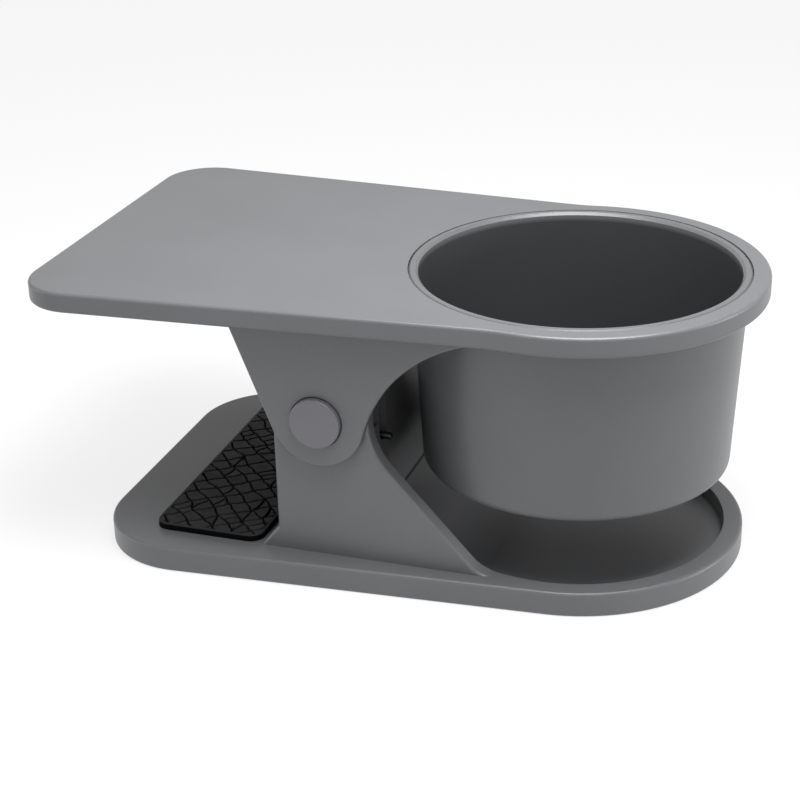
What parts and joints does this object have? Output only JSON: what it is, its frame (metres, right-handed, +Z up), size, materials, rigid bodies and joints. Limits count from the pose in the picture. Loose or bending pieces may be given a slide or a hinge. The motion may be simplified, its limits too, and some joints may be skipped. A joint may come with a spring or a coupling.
{
  "type": "desk clamp cup holder",
  "caption": "Spring clamp with two rubber-faced jaws that grips a desk edge and holds a drink in a drop-in cup set in its upper arm",
  "frame": {"origin": "on the floor, under the middle of the closed holder's outline", "axes": "+X from the jaw towards the cup, +Y along the hinge axle, +Z up"},
  "size_m": [0.186, 0.1094, 0.0785],
  "materials": {
    "moulded_grey": "fine moulded texture, satin sheen",
    "cup_grey": "fine moulded texture, satin sheen",
    "cap_grey": "smooth satin",
    "axle_steel": "turned",
    "sleeve_black": "smooth",
    "spring_steel": "oiled dark spring wire",
    "grip_rubber": "matt with incised crackle grooves"
  },
  "bodies": {
    "lower_jaw": {"lower_arm": "moulded_grey", "lower_grip_pad": "grip_rubber", "spring_sleeve": "sleeve_black", "front_torsion_spring": "spring_steel", "rear_torsion_spring": "spring_steel"},
    "upper_jaw": {"upper_arm": "moulded_grey", "upper_grip_pad": "grip_rubber", "cup_insert": "cup_grey", "pivot_axle": "axle_steel", "front_axle_cap": "cap_grey", "rear_axle_cap": "cap_grey"}
  },
  "joints": [
    {"name": "jaw_hinge", "type": "hinge", "parent": "lower_jaw", "child": "upper_jaw", "pos_m": [-0.0136, 0, 0.0465], "axis": [0, 1, 0], "range_deg": [-36, 10], "stiffness_Nm_per_rad": 2, "deforming": ["front_torsion_spring", "rear_torsion_spring"]}
  ]
}
